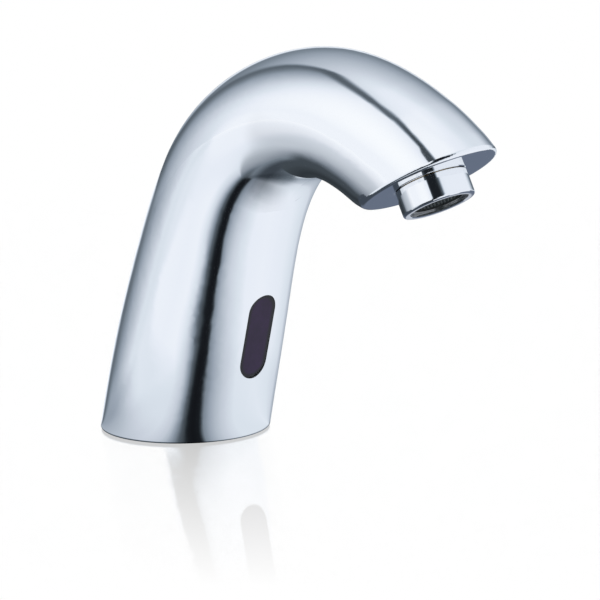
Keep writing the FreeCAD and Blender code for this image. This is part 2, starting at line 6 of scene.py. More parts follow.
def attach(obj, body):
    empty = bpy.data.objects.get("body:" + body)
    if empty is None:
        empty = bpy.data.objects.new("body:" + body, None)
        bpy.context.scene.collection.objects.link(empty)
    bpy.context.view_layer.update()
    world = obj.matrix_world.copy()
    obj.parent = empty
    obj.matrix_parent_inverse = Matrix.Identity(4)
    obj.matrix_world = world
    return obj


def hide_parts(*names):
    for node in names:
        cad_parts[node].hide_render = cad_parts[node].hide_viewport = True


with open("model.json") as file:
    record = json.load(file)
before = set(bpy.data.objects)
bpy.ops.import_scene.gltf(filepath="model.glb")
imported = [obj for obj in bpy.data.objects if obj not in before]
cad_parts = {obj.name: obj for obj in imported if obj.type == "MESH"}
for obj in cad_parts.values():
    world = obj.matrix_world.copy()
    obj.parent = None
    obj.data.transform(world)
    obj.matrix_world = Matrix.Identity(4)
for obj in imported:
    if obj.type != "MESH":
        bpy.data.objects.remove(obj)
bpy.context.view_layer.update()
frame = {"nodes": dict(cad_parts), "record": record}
scene = bpy.context.scene
nodes = frame["nodes"]

# ---------------------------------------------------------------- directions
# The studio is laid out round the photograph's line of sight: RX is to the right, HX towards the camera.
TH = math.radians(43.80092)
RX = Vector((math.cos(TH), -math.sin(TH), 0.0))
HX = Vector((-math.sin(TH), -math.cos(TH), 0.0))
UP = Vector((0.0, 0.0, 1.0))
# Outlet frame: origin on the oblique outlet face, W out along the aerator's axis.
OUT = Vector((0.0, -0.115104, 0.098099))
W = Vector((0.0, -0.482576, -0.875854))
OX = Vector((1.0, 0.0, 0.0))
OY = W.cross(OX)


def srgb(r, g, b):
    """Display colour 0..255 to a linear colour."""
    f = lambda v: v / 12.92 if v <= 0.04045 else ((v + 0.055) / 1.055) ** 2.4
    return tuple(f(c / 255.0) for c in (r, g, b)) + (1.0,)


# ---------------------------------------------------------------- node helpers
class Net:
    """Short calls for a shader node tree."""

    def __init__(self, tree):
        self.t = tree
        tree.nodes.clear()

    def new(self, kind, **props):
        n = self.t.nodes.new(kind)
        for k, v in props.items():
            setattr(n, k, v)
        return n

    def put(self, socket, value):
        if isinstance(value, bpy.types.NodeSocket):
            self.t.links.new(value, socket)
        else:
            socket.default_value = value

    def math(self, op, a, b=None, c=None, clamp=False):
        n = self.new("ShaderNodeMath", operation=op, use_clamp=clamp)
        for i, v in enumerate((a, b, c)):
            if v is not None:
                self.put(n.inputs[i], v)
        return n.outputs[0]

    def dot(self, v, vec):
        n = self.new("ShaderNodeVectorMath", operation="DOT_PRODUCT")
        self.put(n.inputs[0], v)
        n.inputs[1].default_value = tuple(vec)
        return n.outputs["Value"]

    def vec(self, op, a, b=None, scale=None):
        n = self.new("ShaderNodeVectorMath", operation=op)
        self.put(n.inputs[0], a)
        if b is not None:
            self.put(n.inputs[1], b)
        if scale is not None:
            self.put(n.inputs["Scale"], scale)
        return n.outputs["Vector"]

    def span(self, v, a, b, lo=0.0, hi=1.0, smooth=True):
        """lo at a, hi at b, held outside them."""
        n = self.new("ShaderNodeMapRange", interpolation_type="SMOOTHSTEP" if smooth else "LINEAR", clamp=True)
        for i, x in enumerate((v, a, b, lo, hi)):
            self.put(n.inputs[i], x)
        return n.outputs[0]

    def step(self, v, edge, soft, down=False):
        """A soft step at edge: up, or down if down is set."""
        if down:
            return self.span(v, edge - soft / 2, edge + soft / 2, 1.0, 0.0)
        return self.span(v, edge - soft / 2, edge + soft / 2)

    def mix(self, a, b, f):
        """a to b by f, for numbers."""
        return self.math("MULTIPLY_ADD", self.math("SUBTRACT", b, a), f, a)

    def times(self, *fs):
        out = fs[0]
        for f in fs[1:]:
            out = self.math("MULTIPLY", out, f)
        return out

    def ramp(self, v, stops, interp="LINEAR"):
        n = self.new("ShaderNodeValToRGB")
        cr = n.color_ramp
        cr.interpolation = interp
        while len(cr.elements) < len(stops):
            cr.elements.new(0.5)
        for e, (p, c) in zip(cr.elements, stops):
            e.position = p
        for e, (p, c) in zip(cr.elements, stops):
            e.color = c if isinstance(c, tuple) else (c, c, c, 1.0)
        self.put(n.inputs[0], v)
        return n.outputs[0]

    def mixrgb(self, a, b, f, blend="MIX"):
        n = self.new("ShaderNodeMix", data_type="RGBA", blend_type=blend)
        self.put(n.inputs["Factor"], f)
        self.put(n.inputs[6], a)
        self.put(n.inputs[7], b)
        return n.outputs[2]

    def noise(self, vec, scale, detail=4.0, rough=0.55, distort=0.0):
        n = self.new("ShaderNodeTexNoise")
        self.put(n.inputs["Vector"], vec)
        n.inputs["Scale"].default_value = scale
        n.inputs["Detail"].default_value = detail
        n.inputs["Roughness"].default_value = rough
        n.inputs["Distortion"].default_value = distort
        return n.outputs["Fac"]

    def voronoi(self, vec, scale, feature="F1", out="Color"):
        n = self.new("ShaderNodeTexVoronoi", feature=feature)
        self.put(n.inputs["Vector"], vec)
        n.inputs["Scale"].default_value = scale
        return n.outputs[out]

    def bump(self, height, strength, distance, normal=None):
        n = self.new("ShaderNodeBump")
        n.inputs["Strength"].default_value = strength
        n.inputs["Distance"].default_value = distance
        self.put(n.inputs["Height"], height)
        if normal is not None:
            self.put(n.inputs["Normal"], normal)
        return n.outputs["Normal"]


# The studio's light is worked out as a display brightness, and this turns it into its cool grey colour.
TINT = [(0, (8, 9, 12)), (16, (16, 17, 21)), (37, (33, 38, 43)), (65, (59, 66, 72)), (89, (80, 89, 98)), (113, (104, 114, 124)),
        (139, (129, 140, 152)), (164, (154, 164, 177)), (190, (181, 190, 201)), (208, (201, 208, 219)), (224, (217, 225, 234)),
        (235, (231, 236, 245)), (249, (246, 249, 253)), (255, (254, 255, 255))]
TINT = [(k / 255.0, srgb(*c)) for k, c in TINT]
LEVEL = 1.065


# ---------------------------------------------------------------- studio: upper half, by direction
def basis(az, el, roll):
    a, e, r = (math.radians(v) for v in (az, el, roll))
    c = Vector((math.sin(a) * math.cos(e), math.cos(a) * math.cos(e), math.sin(e)))
    u = Vector((math.cos(a), -math.sin(a), 0.0))
    v = u.cross(c)
    if v.z < 0:
        v = -v
    s = lambda q: RX * q.x + HX * q.y + UP * q.z
    return s(c), s(u * math.cos(r) + v * math.sin(r)), s(-u * math.sin(r) + v * math.cos(r))


def build_world():
    world = bpy.data.worlds.new("studio")
    world.use_nodes = True
    scene.world = world
    g = Net(world.node_tree)
    d = g.vec("NORMALIZE", g.new("ShaderNodeTexCoord").outputs["Generated"])
    z = g.dot(d, UP)
    el = g.math("MULTIPLY", g.math("ARCSINE", z), 57.29578)

    def across(az, e, roll=0.0):
        c, u, v = basis(az, e, roll)
        k = g.dot(d, c)
        kk = g.math("MAXIMUM", k, 0.001)
        P = g.math("MULTIPLY", g.math("ARCTAN2", g.dot(d, u), kk), 57.29578)
        Q = g.math("MULTIPLY", g.math("ARCTAN2", g.dot(d, v), kk), 57.29578)
        return P, Q, g.span(k, 0.0, 0.12)

    # pale room, darker towards the horizon
    knots = [(0, .34), (10, .47), (20, .53), (30, .61), (45, .71), (60, .80), (75, .91), (90, .95)]
    S = g.ramp(g.span(el, 0.0, 90.0, smooth=False), [(k / 90.0, v) for k, v in knots])
    # bright streak low behind the tap
    P, Q, k = across(-178.96, 1.6)
    r = g.math("SQRT", g.math("ADD", g.math("POWER", g.math("DIVIDE", g.math("ABSOLUTE", P), 14.4), 2.0),
                              g.math("POWER", g.math("DIVIDE", g.math("ABSOLUTE", Q), 6.5), 2.0)))
    f = g.times(g.span(g.math("MULTIPLY_ADD", g.math("SUBTRACT", 1.0, r), 14.4 / 18.8, 0.5), 0.0, 1.0), k)
    S = g.mix(S, .93, f)
    # white panel to the right
    P, Q, k = across(79.3, 29.4)
    f = g.times(g.step(P, -80.0, 6.0), g.step(P, 64.3, 40.0, True), g.step(Q, 43.9, 60.0, True), k)
    S = g.mix(S, .915, f)
    # bright patch high towards the camera's left
    P, Q, k = across(-25.0, 62.0)
    r = g.math("SQRT", g.math("ADD", g.math("MULTIPLY", P, P), g.math("MULTIPLY", Q, Q)))
    S = g.mix(S, .955, g.times(g.span(r, 30.0, 10.0), k))
    # dark gap towards the camera
    P, Q, k = across(0.0, 15.0)
    f = g.times(g.step(P, -21.0, 10.0), g.step(P, 17.8, 9.0, True), g.step(Q, 23.8, 10.4, True), k)
    S = g.mix(S, .11, f)
    # white panel to the left, with the grey edge of its frame
    P, Q, k = across(-96.25, -12.39, -1.61)
    low = g.span(el, 44.0, 32.0)
    P = g.math("SUBTRACT", P, g.times(low, g.span(P, 40.0, 80.0, 0.0, 19.0)))
    f = g.times(g.step(P, -63.05, 7.8), g.step(P, 83.5, 3.3, True), g.step(Q, 80.2, 4.5, True), k)
    S = g.mix(S, g.span(P, 45.0, 65.0, .36, .27), f)
    f = g.times(g.step(P, -55.1, 25.2), g.step(P, 61.8, 2.3, True), g.step(Q, 74.0, 4.5, True), k)
    px = g.math("DIVIDE", P, 60.0)
    qx = g.math("DIVIDE", Q, 60.0)
    lev = g.math("ADD", g.math("MULTIPLY_ADD", px, .24, .82), g.math("MULTIPLY", qx, .26))
    lev = g.math("SUBTRACT", lev, g.math("MULTIPLY", g.math("MULTIPLY", px, px), .20))
    lev = g.math("SUBTRACT", lev, g.math("MULTIPLY", g.math("MULTIPLY", qx, qx), .19))
    S = g.mix(S, lev, f)
    P, Q, k = across(-72.0, -4.0)
    f = g.times(g.span(g.math("ABSOLUTE", P), 22.0, 8.0), g.span(g.math("ABSOLUTE", Q), 16.0, 7.0), k)
    S = g.mix(S, .95, f)
    # pale below the horizon
    S = g.mix(S, .90, g.span(el, -6.0, -12.0))
    col = g.ramp(g.math("ADD", S, 0.0, clamp=True), TINT)

    studio = g.new("ShaderNodeBackground")
    g.put(studio.inputs["Color"], col)
    studio.inputs["Strength"].default_value = LEVEL
    white = g.new("ShaderNodeBackground")
    white.inputs["Color"].default_value = (1, 1, 1, 1)
    lp = g.new("ShaderNodeLightPath")
    # The white backdrop shows to the camera, and to the floor's own faint mirror.
    td = lp.outputs["Transparent Depth"]
    mirror = g.times(g.math("GREATER_THAN", td, 3.5), g.math("LESS_THAN", g.math("SUBTRACT", lp.outputs["Ray Depth"], td), 1.5),
                     g.math("GREATER_THAN", z, 0.0))
    show = g.math("MAXIMUM", lp.outputs["Is Camera Ray"], mirror)
    mx = g.new("ShaderNodeMixShader")
    g.put(mx.inputs[0], show)
    g.put(mx.inputs[1], studio.outputs[0])
    g.put(mx.inputs[2], white.outputs[0])
    out = g.new("ShaderNodeOutputWorld")
    g.put(out.inputs["Surface"], mx.outputs[0])


# ---------------------------------------------------------------- studio: lower half, cards on the deck
def plane(name, half, z):
    me = bpy.data.meshes.new(name)
    me.from_pydata([(-half, -half, z), (half, -half, z), (half, half, z), (-half, half, z)], [], [(0, 1, 2, 3)])
    ob = bpy.data.objects.new(name, me)
    scene.collection.objects.link(ob)
    return ob


def build_stage():
    # What the chrome sees below it: pale deck with one dark strip towards the camera.
    cards = plane("deck_cards", 1.2, -0.00008)
    cards.visible_camera = False
    mat = bpy.data.materials.new("deck_cards")
    mat.use_nodes = True
    mat.cycles.emission_sampling = "NONE"
    g = Net(mat.node_tree)
    geo = g.new("ShaderNodeNewGeometry")
    p = geo.outputs["Position"]
    a = g.math("MULTIPLY", g.dot(p, RX), 1000.0)
    b = g.math("MULTIPLY", g.dot(p, HX), 1000.0)
    r = g.math("SQRT", g.math("ADD", g.math("MULTIPLY", a, a), g.math("MULTIPLY", b, b)))

    def along_b(stops, scale=1.0):
        """A value that changes along the strip, from b = 0 to 1200 mm."""
        flat = g.ramp(g.span(b, 0.0, 1200.0, smooth=False), [(k / 1200.0, v / scale) for k, v in stops])
        return g.math("MULTIPLY", flat, scale) if scale != 1.0 else flat

    # tone round the foot, by the direction away from it
    clear = g.math("SUBTRACT", a, g.math("MINIMUM", g.math("MAXIMUM", a, -29.0), 29.0))
    az = g.math("MULTIPLY", g.math("ARCTAN2", clear, b), 57.29578)
    t = g.span(az, -180.0, 180.0, smooth=False)
    round_ = [(-180, .98), (-166, .97), (-160, .84), (-153, .46), (-147, .40), (-138, .48), (-125, .62), (-110, .75), (-94, .87), (-75, .905),
              (-35, .895), (0, .91), (60, .93), (110, .91), (134, .875), (147, .85), (154, .77), (162, .72), (168, .66), (173, .60),
              (177, .62), (180, .95)]
    S = g.ramp(t, [((k + 180.0) / 360.0, v) for k, v in round_])
    S = g.math("ADD", S, g.times(g.span(b, 70.0, 110.0, 0.0, .045), g.span(a, -5.0, -40.0)))
    # paler far out on the left, greyer close to the foot there
    S = g.math("ADD", S, g.times(g.span(r, 450.0, 1000.0, 0.0, .03), g.span(a, 0.0, -200.0)))
    f = g.times(g.span(b, 52.0, -18.0), g.span(r, 210.0, 60.0), g.span(a, 0.0, -25.0), g.span(az, -150.0, -120.0))
    S = g.mix(S, .63, f)
    # the dark strip: a crisp right edge with a slow glow after it, and a soft left edge that widens away from the foot
    er = along_b([(0, 3), (20, 5.5), (30, 7.6), (45, 12.6), (55, 15.8), (65, 18.2), (80, 21), (95, 22.2), (115, 22.0), (135, 20.4), (160, 21.5), (1200, 350)], 400.0)
    fast = along_b([(0, 7.0), (15, 5.0), (25, 3.5), (35, 2.2), (45, 1.7), (55, 1.35), (65, 1.2), (90, 1.0), (200, 1.0), (1200, .3)], 8.0)
    tr = g.math("MULTIPLY", g.math("SUBTRACT", a, er), fast)
    R = g.ramp(g.span(tr, -10.0, 75.0, smooth=False), [((k + 10) / 85.0, v) for k, v in
               [(-9, .08), (-3, .10), (-.5, .215), (1.5, .40), (4, .55), (12, .68), (22, .775), (32, .835), (48, .89), (70, .935)]])
    e_l = along_b([(0, 450), (30, 452.5), (60, 457), (90, 460), (115, 459), (135, 453.5), (160, 453), (1200, 70)], 500.0)
    e_l = g.math("SUBTRACT", e_l, 450.0)
    wl = along_b([(0, .30), (35, .33), (45, .355), (55, .40), (65, .455), (75, .53), (95, .79), (115, 1.08), (135, 1.2), (200, 1.4), (1200, 3.9)], 4.0)
    tl = g.math("DIVIDE", g.math("SUBTRACT", e_l, a), wl)
    L = g.ramp(g.span(tl, -5.0, 65.0, smooth=False), [((k + 5) / 70.0, v) for k, v in
               [(-4, .08), (1.5, .10), (4.5, .16), (7.5, .27), (12.5, .36), (17.5, .53), (22.5, .65), (29, .78), (36, .85), (46, .89), (60, .925)]])
    strip = g.math("DIVIDE", g.math("MAXIMUM", R, L), .935)
    S = g.math("MULTIPLY", S, g.mix(1.0, strip, g.span(b, 0.0, 22.0)))
    S = g.math("MULTIPLY", S, g.span(r, 60.0, 95.0, .965, 1.0))
    # painted contact shadow: the dark line where the foot meets the deck
    fx, fy = g.dot(p, Vector((1 / .0295, 0, 0))), g.dot(p, Vector((0, 1 / .0271, 0)))
    foot = g.math("SQRT", g.math("ADD", g.math("MULTIPLY", fx, fx), g.math("MULTIPLY", fy, fy)))
    S = g.math("MULTIPLY", S, g.span(foot, 1.0, 1.05, .35, 1.0))
    col = g.ramp(g.math("ADD", S, 0.0, clamp=True), TINT)
    em = g.new("ShaderNodeEmission")
    g.put(em.inputs["Color"], col)
    em.inputs["Strength"].default_value = LEVEL
    # open far out, where the studio itself shows
    keep = g.times(g.span(r, 1180.0, 900.0), g.math("SUBTRACT", 1.0, geo.outputs["Backfacing"]))
    tr_ = g.new("ShaderNodeBsdfTransparent")
    mx = g.new("ShaderNodeMixShader")
    g.put(mx.inputs[0], keep)
    g.put(mx.inputs[1], tr_.outputs[0])
    g.put(mx.inputs[2], em.outputs[0])
    out = g.new("ShaderNodeOutputMaterial")
    g.put(out.inputs["Surface"], mx.outputs[0])
    cards.data.materials.append(mat)

    # Two dark cards stand in the bend of the arch: painted shade. Only light that runs back towards the column meets
    # them, so the arch's underside mirrors them and is dark with painted shade. To the left the first goes on as a grey
    # gauze, which only the arch's flank sees through, and which darkens what it mirrors with painted shade too.
    for name, y, top in (("shade_card_rear", -.050, .125), ("shade_card_front", -.064, .0995)):
        card = bpy.data.meshes.new(name)
        x0 = -.260 if name == "shade_card_rear" else -.036
        card.from_pydata([(x0, y, .001), (.026, y, .001), (.026, y, top), (x0, y, top)], [], [(0, 1, 2, 3)])
        card_ob = bpy.data.objects.new(name, card)
        scene.collection.objects.link(card_ob)
        card_ob.visible_camera = False
        card_ob.visible_diffuse = False
        mat = bpy.data.materials.new(name)
        mat.use_nodes = True
        mat.cycles.emission_sampling = "NONE"
        g = Net(mat.node_tree)
        geo = g.new("ShaderNodeNewGeometry")
        p = geo.outputs["Position"]
        x = g.math("MULTIPLY", g.dot(p, OX), 1000.0)
        z = g.math("MULTIPLY", g.dot(p, UP), 1000.0)
        if name == "shade_card_rear":
            u = g.math("SUBTRACT", g.math("ADD", x, 75.0), z)
            S = g.ramp(g.span(u, -20.0, 12.0, smooth=False), [(0.0, .47), (.38, .47), (.5, .38), (.6, .42), (1.0, .62)])
            left = g.ramp(g.span(x, -34.0, -20.0, smooth=False), [(0.0, 0.0), (.5, .38), (.71, .64), (.86, 1.0)])
            keep = g.times(left, g.span(u, 16.0, 0.0, smooth=False), g.span(x, 10.0, 2.0), g.span(z, 28.0, 44.0), g.span(z, 88.0, 82.0))
            keep = g.math("MULTIPLY", keep, g.mix(1.0, g.span(z, 83.0, 78.5), g.span(x, -4.0, 3.0)))
            w = g.math("ADD", z, g.math("MULTIPLY", x, -0.55))
            gauze = g.ramp(g.span(w, 80.0, 150.0, smooth=False), [((k - 80.0) / 70.0, v) for k, v in
                           [(80, .74), (92, .785), (104, .835), (112, .87), (120, .905), (130, .95), (138, .98), (146, 1.0)]])
            gauze = g.mix(gauze, 1.0, g.times(g.span(x, -46.0, -36.0), g.span(z, 78.0, 92.0)))
            gauze = g.mix(gauze, 1.0, g.span(x, -25.0, -20.0))
            gauze = g.mix(gauze, 1.0, g.span(x, -190.0, -250.0))
            gauze = g.mix(gauze, 1.0, g.span(z, 54.0, 40.0))
        else:
            S = g.ramp(g.span(x, -22.0, 2.0, smooth=False), [(0.0, .28), (.3, .27), (.6, .19), (1.0, .24)])
            left = g.ramp(g.span(x, -34.0, -20.0, smooth=False), [(0.0, 0.0), (.5, .10), (.57, .22), (.93, 1.0)])
            keep = g.times(left, g.span(z, 35.0, 52.0), g.mix(g.span(z, 99.0, 96.0), g.span(z, 95.0, 90.0), g.span(x, -16.0, -20.0)))
            gauze = 1.0
        em = g.new("ShaderNodeEmission")
        g.put(em.inputs["Color"], g.ramp(S, TINT))
        em.inputs["Strength"].default_value = LEVEL
        # not seen from behind, nor in the floor's faint mirror, whose light has come through the clear sheets
        front = g.math("SUBTRACT", 1.0, geo.outputs["Backfacing"])
        front = g.math("MULTIPLY", front, g.math("LESS_THAN", g.new("ShaderNodeLightPath").outputs["Transparent Depth"], 2.5))
        keep = g.math("MULTIPLY", keep, front)
        tr_ = g.new("ShaderNodeBsdfTransparent")
        if name == "shade_card_rear":
            g.put(tr_.inputs["Color"], g.ramp(g.mix(1.0, gauze, front), [(0.0, (0.0, 0.0, 0.0, 1.0)), (.5, (.200, .212, .225, 1.0)), (.75, (.514, .525, .540, 1.0)), (1.0, (1.0, 1.0, 1.0, 1.0))]))
        mx = g.new("ShaderNodeMixShader")
        g.put(mx.inputs[0], keep)
        g.put(mx.inputs[1], tr_.outputs[0])
        g.put(mx.inputs[2], em.outputs[0])
        out = g.new("ShaderNodeOutputMaterial")
        g.put(out.inputs["Surface"], mx.outputs[0])
        card.materials.append(mat)

    # A small grey gauze lies level in the inner bend, seen only from above: painted shade, darkening what the chrome
    # mirrors there, so the dark strip on the column turns softly into the arch's underside.
    card = bpy.data.meshes.new("shade_gauze")
    card.from_pydata([(-.022, -.060, .080), (.006, -.060, .080), (.006, -.042, .080), (-.022, -.042, .080)], [], [(0, 1, 2, 3)])
    card_ob = bpy.data.objects.new("shade_gauze", card)
    scene.collection.objects.link(card_ob)
    card_ob.visible_camera = False
    card_ob.visible_diffuse = False
    mat = bpy.data.materials.new("shade_gauze")
    mat.use_nodes = True
    mat.cycles.emission_sampling = "NONE"
    g = Net(mat.node_tree)
    geo = g.new("ShaderNodeNewGeometry")
    p = geo.outputs["Position"]
    x = g.math("MULTIPLY", g.dot(p, OX), 1000.0)
    y = g.math("MULTIPLY", g.dot(p, Vector((0.0, -1.0, 0.0))), 1000.0)
    A = g.ramp(g.span(x, -21.0, 5.0, smooth=False), [(0.0, 0.0), (.17, .45), (.34, .45), (.46, .31), (.62, .17), (.77, .07), (.93, 0.0)])
    B = g.ramp(g.span(y, 43.0, 60.0, smooth=False), [(0.0, 0.0), (.20, 0.0), (.41, .26), (.53, .62), (.60, 1.0), (.76, .9), (1.0, 0.0)])
    k = g.times(A, B, g.math("SUBTRACT", 1.0, geo.outputs["Backfacing"]))
    tr_ = g.new("ShaderNodeBsdfTransparent")
    g.put(tr_.inputs["Color"], g.ramp(k, [(0.0, (1.0, 1.0, 1.0, 1.0)), (.25, (.514, .525, .540, 1.0)), (.5, (.200, .212, .225, 1.0))]))
    out = g.new("ShaderNodeOutputMaterial")
    g.put(out.inputs["Surface"], tr_.outputs[0])
    card.materials.append(mat)

    # A grey card lies level under the outlet, seen only from above it: painted shade, which the outlet face and its
    # rounded edge mirror.
    card = bpy.data.meshes.new("outlet_shade_card")
    card.from_pydata([(-.030, -.146, .070), (.095, -.146, .070), (.095, -.066, .070), (-.030, -.066, .070)], [], [(0, 1, 2, 3)])
    card_ob = bpy.data.objects.new("outlet_shade_card", card)
    scene.collection.objects.link(card_ob)
    card_ob.visible_camera = False
    card_ob.visible_diffuse = False
    mat = bpy.data.materials.new("outlet_shade_card")
    mat.use_nodes = True
    mat.cycles.emission_sampling = "NONE"
    g = Net(mat.node_tree)
    geo = g.new("ShaderNodeNewGeometry")
    em = g.new("ShaderNodeEmission")
    x = g.math("MULTIPLY", g.dot(geo.outputs["Position"], OX), 1000.0)
    col = g.mixrgb(srgb(62, 70, 80), srgb(99, 109, 127), g.span(x, -4.0, 10.0))
    # Painted highlight: the ring's rim mirrors a lighter grey. The ring's rim is parallel to the outlet face. How far
    # the light came tells whether it left from the ring.
    far = g.new("ShaderNodeLightPath").outputs["Ray Length"]
    sq = 0.0
    for axis, step in zip((OX, Vector((0, 1, 0)), Vector((0, 0, 1))), (.6782, .54658, -.49129)):
        at = g.math("SUBTRACT", g.dot(geo.outputs["Position"], axis), (OUT + W * .00864).dot(axis))
        at = g.math("SUBTRACT", at, g.math("MULTIPLY", far, step))
        sq = g.math("ADD", g.math("MULTIPLY", at, at), sq)
    rim = g.span(g.math("MULTIPLY", g.math("SQRT", sq), 1000.0), 13.3, 12.4)
    # painted highlight: a lighter grey only where the ring's rim mirrors this card
    g.put(em.inputs["Color"], g.mixrgb(col, srgb(182, 188, 199), rim))
    em.inputs["Strength"].default_value = LEVEL
    tr_ = g.new("ShaderNodeBsdfTransparent")
    mx = g.new("ShaderNodeMixShader")
    g.put(mx.inputs[0], geo.outputs["Backfacing"])
    g.put(mx.inputs[1], em.outputs[0])
    g.put(mx.inputs[2], tr_.outputs[0])
    out = g.new("ShaderNodeOutputMaterial")
    g.put(out.inputs["Surface"], mx.outputs[0])
    card.materials.append(mat)

    # The plain white floor that the camera sees, with a faint mirror that fades towards the camera.
    # Three clear sheets lie just over it and under the deck's cards. They do nothing but count: light that has come
    # through them comes from the floor, and meets the plain white backdrop instead of the studio.
    for k in range(3):
        sheet = plane("clear_sheet_%d" % (k + 1), 0.52, -0.00014 - 0.00006 * k)
        sheet.visible_camera = False
        sheet.visible_diffuse = False
        sheet.visible_shadow = False
        mat = bpy.data.materials.new("clear_sheet_%d" % (k + 1))
        mat.use_nodes = True
        g = Net(mat.node_tree)
        tr_ = g.new("ShaderNodeBsdfTransparent")
        out = g.new("ShaderNodeOutputMaterial")
        g.put(out.inputs["Surface"], tr_.outputs[0])
        sheet.data.materials.append(mat)
    floor = plane("floor", 4.0, -0.00032)
    floor.visible_glossy = False
    floor.visible_diffuse = False
    floor.visible_shadow = False
    mat = bpy.data.materials.new("floor")
    mat.use_nodes = True
    mat.cycles.emission_sampling = "NONE"
    g = Net(mat.node_tree)
    geo = g.new("ShaderNodeNewGeometry")
    p = geo.outputs["Position"]
    b = g.math("MULTIPLY", g.dot(p, HX), 1000.0)
    a = g.math("ABSOLUTE", g.math("MULTIPLY", g.dot(p, RX), 1000.0))
    fade = g.times(g.span(b, 28.0, 205.0, .40, 0.0, smooth=False), g.span(a, 450.0, 250.0), g.span(b, -450.0, -220.0))
    em = g.new("ShaderNodeEmission")
    em.inputs["Color"].default_value = (1, 1, 1, 1)
    gl = g.new("ShaderNodeBsdfGlossy")
    gl.inputs["Color"].default_value = (1, 1, 1, 1)
    gl.inputs["Roughness"].default_value = 0.03
    mx = g.new("ShaderNodeMixShader")
    g.put(mx.inputs[0], fade)
    g.put(mx.inputs[1], em.outputs[0])
    g.put(mx.inputs[2], gl.outputs[0])
    # from below the floor isn't there, so that the foot can be seen
    tr_ = g.new("ShaderNodeBsdfTransparent")
    m2 = g.new("ShaderNodeMixShader")
    g.put(m2.inputs[0], geo.outputs["Backfacing"])
    g.put(m2.inputs[1], mx.outputs[0])
    g.put(m2.inputs[2], tr_.outputs[0])
    out = g.new("ShaderNodeOutputMaterial")
    g.put(out.inputs["Surface"], m2.outputs[0])
    floor.data.materials.append(mat)


# ---------------------------------------------------------------- materials
def material(name):
    mat = bpy.data.materials.new(name)
    mat.use_nodes = True
    g = Net(mat.node_tree)
    bs = g.new("ShaderNodeBsdfPrincipled")
    out = g.new("ShaderNodeOutputMaterial")
    g.put(out.inputs["Surface"], bs.outputs[0])
    pos = g.new("ShaderNodeTexCoord").outputs["Object"]
    return mat, g, bs, pos


def grey(g, f, dark, light):
    """A colour between dark and light by f."""
    return g.mixrgb(tuple(dark) + (1.0,), tuple(light) + (1.0,), f)


def chrome(name, rough, peel):
    """Polished plating: clear mirror, a trace of haze in soft patches, fine polishing lines and faint waviness."""
    mat, g, bs, pos = material(name)
    haze = g.noise(pos, 38.0, 3.0)
    fine = g.noise(g.vec("MULTIPLY", pos, (900.0, 900.0, 5200.0)), 1.0, 2.0)
    g.put(bs.inputs["Base Color"], grey(g, haze, (.925, .935, .945), (.945, .95, .955)))
    bs.inputs["Metallic"].default_value = 1.0
    g.put(bs.inputs["Roughness"], g.math("ADD", g.span(haze, .3, .7, rough, rough + .02), g.math("MULTIPLY", fine, .012)))
    wave = g.bump(g.noise(pos, 55.0, 2.0), peel, 0.0002)
    g.put(bs.inputs["Normal"], g.bump(fine, peel * .5, 0.000004, wave))
    return mat


def metal(name, dark, light, rough, cell=None, lines=None, grain=500.0):
    """Plain metal: mottled tone, optional crystal cells, optional machining lines, and grain in the roughness."""
    mat, g, bs, pos = material(name)
    n = g.noise(pos, grain, 5.0, .6)
    if cell:
        n = g.math("MULTIPLY_ADD", g.voronoi(pos, cell, out="Distance"), .7, g.math("MULTIPLY", n, .4))
    h = n
    if lines is not None:
        h = g.noise(g.vec("MULTIPLY", pos, lines), 1.0, 2.0)
        n = g.math("MULTIPLY_ADD", h, .5, g.math("MULTIPLY", n, .5))
    g.put(bs.inputs["Base Color"], grey(g, g.span(n, .25, .75), dark, light))
    bs.inputs["Metallic"].default_value = 1.0
    g.put(bs.inputs["Roughness"], g.span(h, .2, .8, rough - .07, rough + .09))
    g.put(bs.inputs["Normal"], g.bump(h, .35, 0.00006))
    return mat


def plastic(name, dark, light, rough, spec=.5, grain=1400.0, depth=0.00004, sheen=0.0, speck=0.0):
    """Moulded plastic or rubber: fine moulded grain, soft tone change, a little scatter in the gloss."""
    mat, g, bs, pos = material(name)
    broad = g.noise(pos, 90.0, 3.0)
    fine = g.noise(pos, grain, 4.0, .6)
    tone = g.math("MULTIPLY_ADD", broad, .6, g.math("MULTIPLY", fine, .4))
    col = grey(g, g.span(tone, .3, .7), dark, light)
    if speck:
        col = g.mixrgb(col, (speck, speck, speck, 1.0), g.span(fine, .66, .74))
    g.put(bs.inputs["Base Color"], col)
    g.put(bs.inputs["Roughness"], g.span(fine, .3, .7, rough - .05, rough + .07))
    bs.inputs["Specular IOR Level"].default_value = spec
    bs.inputs["Sheen Weight"].default_value = sheen
    g.put(bs.inputs["Normal"], g.bump(fine, .4, depth))
    return mat


def lens():
    """Infra-red window: purple-black gloss, darker round its edge: painted shade of the recess's sides, and there the
    case behind it doesn't show.
    """
    mat, g, bs, pos = material("lens_dark")
    x = g.math("MULTIPLY", g.dot(pos, OX), 1000.0)
    off = g.vec("SUBTRACT", pos, (0.0, -0.036181, 0.03575))
    y = g.math("ABSOLUTE", g.math("MULTIPLY", g.dot(off, Vector((0.0, -0.2361, 0.9717))), 1000.0))
    y = g.math("MAXIMUM", g.math("SUBTRACT", y, 9.1), 0.0)
    d = g.math("SQRT", g.math("ADD", g.math("MULTIPLY", x, x), g.math("MULTIPLY", y, y)))
    broad = g.noise(pos, 160.0, 3.0)
    inner = grey(g, g.span(broad, .3, .7), (.021, .007, .036), (.030, .010, .050))
    # painted shade: darker round the window's edge, as the recess's sides shade it
    g.put(bs.inputs["Base Color"], g.mixrgb(inner, (.010, .009, .011, 1.0), g.span(d, 3.9, 5.3)))
    fine = g.noise(pos, 2600.0, 2.0)
    g.put(bs.inputs["Roughness"], g.span(fine, .3, .7, .16, .22))
    bs.inputs["IOR"].default_value = 1.36
    g.put(bs.inputs["Normal"], g.bump(fine, .15, 0.00001))
    return mat


